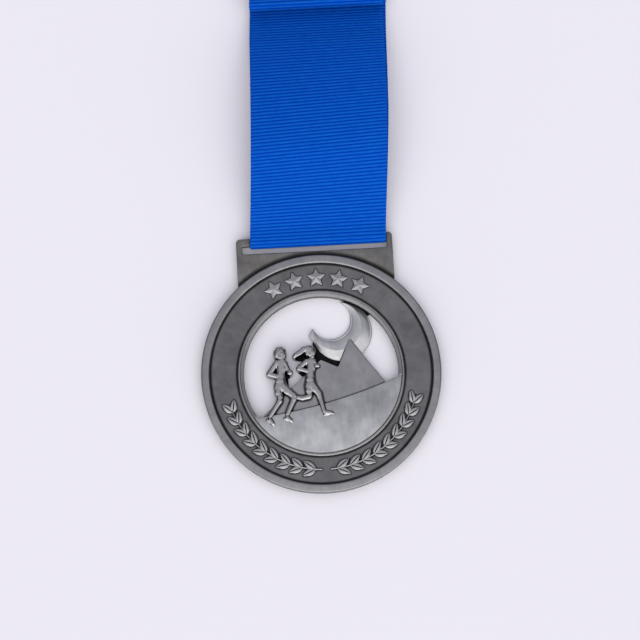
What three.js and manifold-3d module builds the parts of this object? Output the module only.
// Finisher medal: a round openwork casting on a ribbon tape that is folded for storage.
// Millimetres. +Z is up and is the way the medal's face looks, +Y runs from the medal to the ribbon.
// The origin is the centre of the round frame, on the casting's flat back.
import * as THREE from 'three';
import { mergeVertices } from 'three/addons/utils/BufferGeometryUtils.js';
import Module from 'manifold-3d';

const wasm = await Module();
wasm.setup();

// Driving dimensions of the casting
const medalRadius = 35;
const outerRimWidth = 2.6;
const openingRadius = 22.6;
const innerRimWidth = 1.8;
const innerRimStep = 1.1;
const bandTop = 3;
const outerRimTop = 4;
const innerRimTop = 3.7;
const backingTop = 0.8;
const embed = 0.4;
const ringSegments = 72;

// The tab and its bar
const tabHalfWidth = 23;
const slotHalfWidth = 21.3;
const tabRootTop = 36.3;
const barLowEdge = 38.65;
const barHighEdge = 40.9;
const tabBottom = 1;
const tabTop = 3;
const barCentre = new THREE.Vector2((barLowEdge + barHighEdge) / 2, (tabBottom + tabTop) / 2);

// The relief inside and around the opening
const hillTop = 3.2;
const mountainTop = 2.4;
const moonTop = 1.6;
const reliefTop = 4;
const ornamentRadius = 28.2;
const ornamentHeight = 0.8;

// The ribbon tape, folded for storage
const tapeWidth = 40;
const tapeThickness = 0.5;
const tapeCentreX = 1.2;
const tapeLean = THREE.MathUtils.degToRad(2.65);
const bightRadius = 1.7;
const floorGap = 0.05;
const stackFront = 110;
const stackBack = 193;
const stackTop = 8.3;
const pieceGap = 0.3;

const silver = (name, colour, roughness) =>
  new THREE.MeshStandardMaterial({ name, color: colour, roughness, metalness: 1 });
const darkSilver = silver('antique_silver_dark', 0x5f6062, 0.5);
const midSilver = silver('antique_silver', 0x8d8f91, 0.4);
const brightSilver = silver('polished_silver', 0xb4b5b7, 0.3);
const blueTape = new THREE.MeshStandardMaterial({
  name: 'blue_tape', color: 0x0850b8, roughness: 0.8, metalness: 0,
});
const blueThread = new THREE.MeshStandardMaterial({
  name: 'blue_thread', color: 0x0a4aa8, roughness: 0.7, metalness: 0,
});

const medal = new THREE.Group();

function addPiece(name, geometry, material) {
  const piece = new THREE.Mesh(geometry, material.clone());
  piece.name = name;
  medal.add(piece);
}

const point = (x, y) => new THREE.Vector2(x, y);

// An outline in the XY plane, raised from z = bottom to z = top.
function plate(outline, bottom, top, holes = []) {
  const shape = new THREE.Shape(outline);
  shape.holes = holes.map((hole) => new THREE.Path(hole));
  const geometry = new THREE.ExtrudeGeometry(shape, { depth: top - bottom, bevelEnabled: false });
  return geometry.translate(0, 0, bottom);
}

function box(low, high) {
  const size = high.map((value, axis) => value - low[axis]);
  const middle = high.map((value, axis) => (value + low[axis]) / 2);
  return new THREE.BoxGeometry(...size).translate(...middle);
}

function circle(radius, segments, x = 0, y = 0) {
  return Array.from({ length: segments }, (_, i) => {
    const angle = (i / segments) * 2 * Math.PI;
    return point(x + radius * Math.cos(angle), y + radius * Math.sin(angle));
  });
}

// Points along an arc, ends included; angles in degrees.
function arc(x, y, radius, from, to, steps) {
  return Array.from({ length: steps + 1 }, (_, i) => {
    const angle = THREE.MathUtils.degToRad(from + ((to - from) * i) / steps);
    return point(x + radius * Math.cos(angle), y + radius * Math.sin(angle));
  });
}

// A ring about Z from a closed profile of [radius, z] points.
function turnedRing(profile) {
  const outline = profile.map(([radius, z]) => point(radius, z));
  outline.push(outline[0].clone());
  return new THREE.LatheGeometry(outline, ringSegments).rotateX(Math.PI / 2);
}

function solid(geometry) {
  const bare = geometry.clone();
  bare.deleteAttribute('normal');
  bare.deleteAttribute('uv');
  const merged = mergeVertices(bare, 1e-4);
  const vertProperties = new Float32Array(merged.getAttribute('position').array);
  const triVerts = new Uint32Array(merged.index.array);
  return new wasm.Manifold(new wasm.Mesh({ numProp: 3, vertProperties, triVerts }));
}

function geometryOf(body) {
  const mesh = body.getMesh();
  const geometry = new THREE.BufferGeometry();
  geometry.setAttribute('position', new THREE.BufferAttribute(new Float32Array(mesh.vertProperties), 3));
  geometry.setIndex(new THREE.BufferAttribute(new Uint32Array(mesh.triVerts), 1));
  geometry.computeVertexNormals();
  return geometry;
}

const joined = (geometries) => geometries.map(solid).reduce((sum, next) => sum.add(next));

// The skyline of the hill, a slightly hollow slope rising to the right
const hillLine = (x) => -9.1 + 0.228 * x + 0.0036 * x * x;
const hillLeft = -20;
const hillRight = 23.4;
const hillDeep = -24;
const hillSkyline = Array.from({ length: 13 }, (_, i) => {
  const x = hillLeft + ((hillRight - hillLeft) * i) / 12;
  return point(x, hillLine(x));
});

// The two-peaked mountain behind the hill, its foot below the hill's skyline
const mountainOutline = [
  point(-17.5, -11.7),
  point(0, 4),
  point(5, 1.6),
  point(8.8, 9.8),
  point(18.5, -3.2),
  point(12, -9),
  point(-10, -14),
];

// The crescent: one circle bitten out of another
const moonOuter = { x: 6.7, y: 12.1, radius: 8.75 };
const moonInner = { x: 3.5, y: 15.9, radius: 5.92 };
const moonInset = 0.1;
const crescentSegments = 40;

// A shallow recessed web ties the moon to the frame, and another ties it to the mountain.
const upperWeb = [point(7.6, 20.8), point(10, 17.4), point(13.2, 16.2), point(15.3, 16.8), point(8, 22.4)];
const lowerWeb = [point(-2.1, 9.4), point(4, 8), point(6.5, 3), point(4, -2), point(-1.6, 3.4)];

// The same sunk ground fills the gaps between the runners' arms and bodies, and under the pony-tail.
const rearRunnerGround = [
  point(-13.3, 3.6), point(-15.5, 0.2), point(-12.6, -1), point(-12.3, -3.6), point(-9.3, -5.6),
  point(-9.6, -3.4), point(-9.7, -1), point(-8.6, -0.2), point(-8.4, 1), point(-9.4, 1.9), point(-10.2, 3.6),
];
const frontRunnerGround = [
  point(-3.6, 4.2), point(-7.1, 1.9), point(-7.1, 1), point(-5.6, -0.4), point(-5, -0.6), point(-2, 0.5),
];
const ponyTailGround = [
  point(-1.8, 7.2), point(-4.6, 7.4), point(-6.6, 6.4), point(-7.9, 5.3), point(-7.6, 4.5),
  point(-6.6, 4.2), point(-5.3, 4), point(-4.6, 3.2), point(-1.7, 3.6),
];

function crescent(bottom, top, inset = 0) {
  const disc = circle(moonOuter.radius - inset, crescentSegments, moonOuter.x, moonOuter.y);
  const bite = circle(moonInner.radius + inset, crescentSegments, moonInner.x, moonInner.y);
  return solid(plate(disc, bottom, top)).subtract(solid(plate(bite, bottom - 1, top + 1)));
}

// The area of the hill inside a circle
function hillPlate(bottom, top, radius) {
  const below = [...hillSkyline, point(hillRight, hillDeep), point(hillLeft, hillDeep)];
  const disc = solid(plate(circle(radius, ringSegments), bottom, top));
  return solid(plate(below.reverse(), bottom, top)).intersect(disc);
}

// The hill fills the foot of the opening, and its face laps over the inner rim's lower step.
const makeHill = () => geometryOf(
  hillPlate(backingTop, bandTop, openingRadius - pieceGap)
    .add(hillPlate(bandTop, hillTop, openingRadius + innerRimStep)),
);

const makeMountain = () => geometryOf(
  solid(plate(mountainOutline, backingTop, mountainTop))
    .subtract(hillPlate(0, bandTop, openingRadius).translate([0, pieceGap, 0])),
);

// The moon stops a small gap short of the mountain.
function makeMoon() {
  const mountain = solid(plate(mountainOutline, 0, bandTop));
  const shifts = [[-pieceGap, pieceGap], [pieceGap, pieceGap], [0, pieceGap]];
  const body = shifts.reduce(
    (left, [x, y]) => left.subtract(mountain.translate([x, y, 0])),
    crescent(backingTop, moonTop, moonInset),
  );
  return geometryOf(body);
}

// One casting: the band, the backing of the scene, and the root of the tab
function makeFrame() {
  const band = turnedRing([
    [openingRadius, 0],
    [medalRadius, 0],
    [medalRadius, bandTop],
    [openingRadius, bandTop],
  ]);
  const hidden = openingRadius + embed;
  const inside = solid(plate(circle(hidden, ringSegments), -1, bandTop));
  const webs = joined([upperWeb, lowerWeb, rearRunnerGround, frontRunnerGround, ponyTailGround]
    .map((outline) => plate(outline, 0, backingTop)));
  const backing = solid(plate(mountainOutline, 0, backingTop))
    .add(crescent(0, backingTop))
    .add(webs)
    .add(hillPlate(0, backingTop, hidden))
    .intersect(inside);
  const root = box([-tabHalfWidth, 20, tabBottom], [tabHalfWidth, tabRootTop, tabTop]);
  const insideEdge = plate(circle(medalRadius - embed, ringSegments), 0, bandTop + 1);
  const rootOutside = solid(root).subtract(solid(insideEdge));
  return geometryOf(solid(band).add(backing).add(rootOutside));
}

// The loop that the ribbon hangs on: two posts and a bar, rounded at the outer corners
function makeBar() {
  const corner = 1.2;
  const turn = [
    ...arc(tabHalfWidth - corner, barHighEdge - corner, corner, 0, 90, 4),
    ...arc(-tabHalfWidth + corner, barHighEdge - corner, corner, 90, 180, 4),
  ];
  const outline = [
    point(slotHalfWidth, tabRootTop),
    point(tabHalfWidth, tabRootTop),
    ...turn,
    point(-tabHalfWidth, tabRootTop),
    point(-slotHalfWidth, tabRootTop),
    point(-slotHalfWidth, barLowEdge),
    point(slotHalfWidth, barLowEdge),
  ];
  const section = barSection().map(([y, z]) => point(z, y));
  const rounded = plate(section, -tabHalfWidth - 1, tabHalfWidth + 1).rotateY(Math.PI / 2);
  const posts = box([-tabHalfWidth - 1, tabRootTop - 1, tabBottom], [tabHalfWidth + 1, barLowEdge, tabTop]);
  return geometryOf(solid(plate(outline, tabBottom, tabTop)).intersect(solid(rounded).add(solid(posts))));
}

// The bar's section in Y and Z, with rounded edges that let the tape turn on it
function barSection() {
  const edge = 0.6;
  const corners = [
    [barHighEdge - edge, tabTop - edge, 0],
    [barLowEdge + edge, tabTop - edge, 90],
    [barLowEdge + edge, tabBottom + edge, 180],
    [barHighEdge - edge, tabBottom + edge, 270],
  ];
  return corners.flatMap(([y, z, start]) => arc(y, z, edge, start, start + 90, 3).map((p) => [p.x, -p.y]));
}

// Raised rims on the band
const outerRimProfile = [
  [medalRadius - outerRimWidth, bandTop],
  [medalRadius, bandTop],
  [medalRadius, outerRimTop - 0.5],
  [medalRadius - 0.5, outerRimTop],
  [medalRadius - outerRimWidth + 0.3, outerRimTop],
];
const innerRimProfile = [
  [openingRadius, bandTop],
  [openingRadius + innerRimWidth, bandTop],
  [openingRadius + innerRimWidth - 0.2, innerRimTop],
  [openingRadius + innerRimStep, innerRimTop],
  [openingRadius + innerRimStep - 0.2, innerRimTop - 0.3],
  [openingRadius, innerRimTop - 0.5],
];

// The inner rim is cut away where the hill's face laps over it.
const makeInnerRim = () => geometryOf(
  solid(turnedRing(innerRimProfile)).subtract(hillPlate(0, hillTop + bandTop, openingRadius + innerRimStep)),
);

// A rounded rod between two points in the XY plane, its middle at the height z
function limb(from, to, radius, z) {
  const start = point(...from);
  const end = point(...to);
  const run = end.clone().sub(start);
  const rod = new THREE.CapsuleGeometry(radius, run.length(), 3, 8);
  rod.rotateZ(run.angle() - Math.PI / 2);
  return rod.translate((start.x + end.x) / 2, (start.y + end.y) / 2, z);
}

function ball(x, y, radiusX, radiusY, radiusZ, z) {
  return new THREE.SphereGeometry(1, 10, 8).scale(radiusX, radiusY, radiusZ).translate(x, y, z);
}

// A figure in relief: cut off flat at the top and at the faces of the hill and the mountain it stands on
function figure(geometries) {
  const slab = solid(box([-30, -30, mountainTop], [30, 30, reliefTop]));
  return geometryOf(joined(geometries).intersect(slab).subtract(hillPlate(0, hillTop, medalRadius)));
}

const limbHeight = 3.1;

const makeRearRunner = () => figure([
  ball(-11.5, 6.2, 2.05, 2.2, 1.4, limbHeight - 0.1),
  limb([-11.8, 4.6], [-11.9, 2.4], 0.9, limbHeight),
  ball(-11.8, 1.6, 1.9, 2.9, 1.2, limbHeight),
  ball(-12.2, -2.4, 1.8, 2.4, 1.15, limbHeight),
  limb([-13, 3.2], [-15.4, 0.2], 0.75, limbHeight),
  limb([-15.4, 0.2], [-12.6, -0.7], 0.7, limbHeight),
  limb([-10.5, 3.2], [-9.2, 0.8], 0.8, limbHeight - 0.2),
  limb([-12.8, -3.4], [-12.6, -6.9], 1.1, limbHeight - 0.1),
  limb([-12.6, -6.9], [-15.6, -12.2], 0.75, limbHeight - 0.1),
  limb([-15.9, -12.9], [-14.5, -14.1], 0.75, limbHeight - 0.2),
  limb([-11.2, -3.5], [-8.6, -6.5], 1.1, limbHeight),
  limb([-8.6, -6.5], [-10.4, -11.8], 0.8, limbHeight),
  limb([-11.1, -12.6], [-9.2, -13.5], 0.75, limbHeight - 0.1),
]);

const makeFrontRunner = () => figure([
  ball(-2.75, 6.6, 1.7, 1.8, 1.3, limbHeight - 0.1),
  limb([-3.4, 7.2], [-5.6, 6.2], 0.8, limbHeight - 0.2),
  limb([-5.6, 6.2], [-7.2, 5.2], 0.6, limbHeight - 0.2),
  limb([-2.9, 4.8], [-2.9, 3.4], 0.7, limbHeight),
  ball(-3, 2, 1.5, 2.7, 1.15, limbHeight),
  ball(-3.4, -2, 1.6, 2.6, 1.15, limbHeight),
  limb([-4.2, 3.4], [-6.6, 1.6], 0.65, limbHeight),
  limb([-6.6, 1.6], [-3.9, 0.7], 0.65, limbHeight),
  limb([-2, 3], [-1, 2], 0.65, limbHeight - 0.2),
  limb([-2.7, -3.4], [-0.6, -6.4], 1.05, limbHeight),
  limb([-0.6, -6.4], [0.5, -11.6], 0.7, limbHeight),
  limb([0.6, -12.3], [2.6, -12], 0.7, limbHeight - 0.1),
  limb([-3.7, -3.9], [-3.6, -6.6], 0.95, limbHeight - 0.1),
  limb([-3.6, -6.8], [-6, -7], 0.7, limbHeight - 0.1),
]);

// A five-pointed star that rises to a point, its foot on the band
function makeStar(degrees) {
  const tip = 3;
  const notch = 0.5;
  const cone = new THREE.ConeGeometry(tip, ornamentHeight, 10).rotateX(Math.PI / 2).rotateZ(Math.PI / 2);
  const position = cone.getAttribute('position');
  const foot = -ornamentHeight / 2;
  for (let i = 0; i < position.count; i += 1) {
    const turn = Math.round((Math.atan2(position.getY(i), position.getX(i)) / Math.PI) * 5);
    const isNotch = Math.abs(turn) % 2 === 1 && position.getZ(i) < foot + 0.01;
    const scale = isNotch ? notch : 1;
    position.setXY(i, position.getX(i) * scale, position.getY(i) * scale);
  }
  const angle = THREE.MathUtils.degToRad(degrees);
  cone.rotateZ(angle);
  return cone.translate(ornamentRadius * Math.cos(angle), ornamentRadius * Math.sin(angle), bandTop - foot);
}

// A laurel branch that follows the band, with paired leaves on a thin stem
function makeLaurel(fromDegrees, toDegrees) {
  const stemHalfWidth = 0.3;
  const pairs = 9;
  const stem = [
    ...arc(0, 0, ornamentRadius + stemHalfWidth, fromDegrees, toDegrees, 24),
    ...arc(0, 0, ornamentRadius - stemHalfWidth, toDegrees, fromDegrees, 24),
  ];
  if (toDegrees < fromDegrees) stem.reverse();
  const top = bandTop + ornamentHeight;
  const leaves = [];
  for (let i = 0; i < pairs; i += 1) {
    const degrees = fromDegrees + ((toDegrees - fromDegrees) * (i + 0.3)) / pairs;
    const forward = toDegrees > fromDegrees ? 1 : -1;
    leaves.push(leaf(degrees, forward, 1, top), leaf(degrees, forward, -1, top));
  }
  return geometryOf(joined([plate(stem, bandTop, top - 0.2), ...leaves]));
}

function leaf(degrees, forward, side, top) {
  const length = 4.4;
  const halfWidth = 1.05;
  const outline = [
    point(0, 0),
    point(length * 0.3, -halfWidth),
    point(length * 0.65, -halfWidth * 0.8),
    point(length, 0),
    point(length * 0.65, halfWidth * 0.8),
    point(length * 0.3, halfWidth),
  ];
  const angle = THREE.MathUtils.degToRad(degrees);
  const spread = THREE.MathUtils.degToRad(30);
  const geometry = plate(outline, bandTop, top);
  geometry.rotateZ(angle + forward * (Math.PI / 2) - forward * side * spread);
  return geometry.translate(ornamentRadius * Math.cos(angle), ornamentRadius * Math.sin(angle), 0);
}

// A band of tape from a centre line of [y, z] points, as wide as the tape. It leans to the right as it
// leaves the bar, with its ribs parallel to the bar.
function tape(centreLine) {
  const half = tapeThickness / 2;
  const points = centreLine.map(([y, z]) => point(y, z));
  const offset = (side) => points.map((p, i) => {
    const before = points[Math.max(i - 1, 0)];
    const after = points[Math.min(i + 1, points.length - 1)];
    const along = after.clone().sub(before).normalize();
    return point(p.x - side * half * along.y, p.y + side * half * along.x);
  });
  return leaningPrism([...offset(-1), ...offset(1).reverse()]);
}

function leaningPrism(section, width = tapeWidth, centreX = tapeCentreX) {
  // The section is drawn in (y, z), so the axes are turned to stand it across X.
  const prism = plate(section, centreX - width / 2, centreX + width / 2);
  const axes = new THREE.Matrix4().set(0, 0, 1, 0, 1, 0, 0, 0, 0, 1, 0, 0, 0, 0, 0, 1);
  const slope = Math.tan(tapeLean);
  const lean = new THREE.Matrix4().set(1, slope, 0, -slope * barCentre.x, 0, 1, 0, 0, 0, 0, 1, 0, 0, 0, 0, 1);
  return prism.applyMatrix4(axes).applyMatrix4(lean);
}

// The half turn of tape round the bar, from above it to below it
const bightLine = arc(barCentre.x, barCentre.y, bightRadius, 90, 270, 12).map((p) => [p.x, p.y]);

// The upper strap arches up from the bar and dives under the front of the folded tape.
const upperStrapRoute = new THREE.SplineCurve([
  point(barCentre.x + pieceGap, barCentre.y + bightRadius),
  point(45, 4.6),
  point(55, 8.6),
  point(66, 11.8),
  point(77, 12),
  point(88, 10.2),
  point(97, 7.4),
  point(103.5, 4.4),
  point(stackFront - 2 * pieceGap, 1.7),
]);
const upperStrapLine = upperStrapRoute.getPoints(32).map((p) => [p.x, p.y]);
const lowerStrapHeight = barCentre.y - bightRadius;
const lowerStrapLine = [
  [barCentre.x + pieceGap, lowerStrapHeight],
  [stackFront - 2 * pieceGap, lowerStrapHeight],
];

// The rest of the tape, folded to and fro in a flat stack with round ends
function makeStack() {
  const nose = 3.2;
  const low = floorGap + nose;
  const high = stackTop - nose;
  const section = [
    ...arc(stackBack - nose, low, nose, -90, 0, 5),
    ...arc(stackBack - nose, high, nose, 0, 90, 5),
    ...arc(stackFront + nose, high, nose, 90, 180, 5),
    ...arc(stackFront + nose, low, nose, 180, 270, 5),
  ];
  return leaningPrism(section);
}

// A box of stitches that closes the tape into a loop, lying on top of the stack
function makeSeam() {
  const halfLength = 5;
  const halfWidth = 17;
  const thread = 0.6;
  const seamY = 150;
  const seamX = tapeCentreX + Math.tan(tapeLean) * (seamY - barCentre.x);
  const rectangle = (inset) => [
    point(seamX - halfWidth + inset, seamY - halfLength + inset),
    point(seamX + halfWidth - inset, seamY - halfLength + inset),
    point(seamX + halfWidth - inset, seamY + halfLength - inset),
    point(seamX - halfWidth + inset, seamY + halfLength - inset),
  ];
  return plate(rectangle(0), stackTop, stackTop + 0.3, [rectangle(thread)]);
}

addPiece('medal_frame', makeFrame(), darkSilver);
addPiece('ribbon_bar', makeBar(), darkSilver);
addPiece('outer_rim', turnedRing(outerRimProfile), midSilver);
addPiece('inner_rim', makeInnerRim(), midSilver);
addPiece('hill', makeHill(), brightSilver);
addPiece('mountain', makeMountain(), midSilver);
addPiece('moon', makeMoon(), midSilver);
addPiece('runner_rear', makeRearRunner(), brightSilver);
addPiece('runner_front', makeFrontRunner(), brightSilver);
[116.4, 103.2, 90, 76.8, 63.6].forEach((degrees, i) => {
  addPiece(`star_${i + 1}`, makeStar(degrees), midSilver);
});
addPiece('laurel_left', makeLaurel(266, 196), midSilver);
addPiece('laurel_right', makeLaurel(274, 344), midSilver);
addPiece('ribbon_bight', tape(bightLine), blueTape);
addPiece('ribbon_upper_strap', tape(upperStrapLine), blueTape);
addPiece('ribbon_lower_strap', tape(lowerStrapLine), blueTape);
addPiece('ribbon_folded_stack', makeStack(), blueTape);
addPiece('seam_stitching', makeSeam(), blueThread);

export default medal;
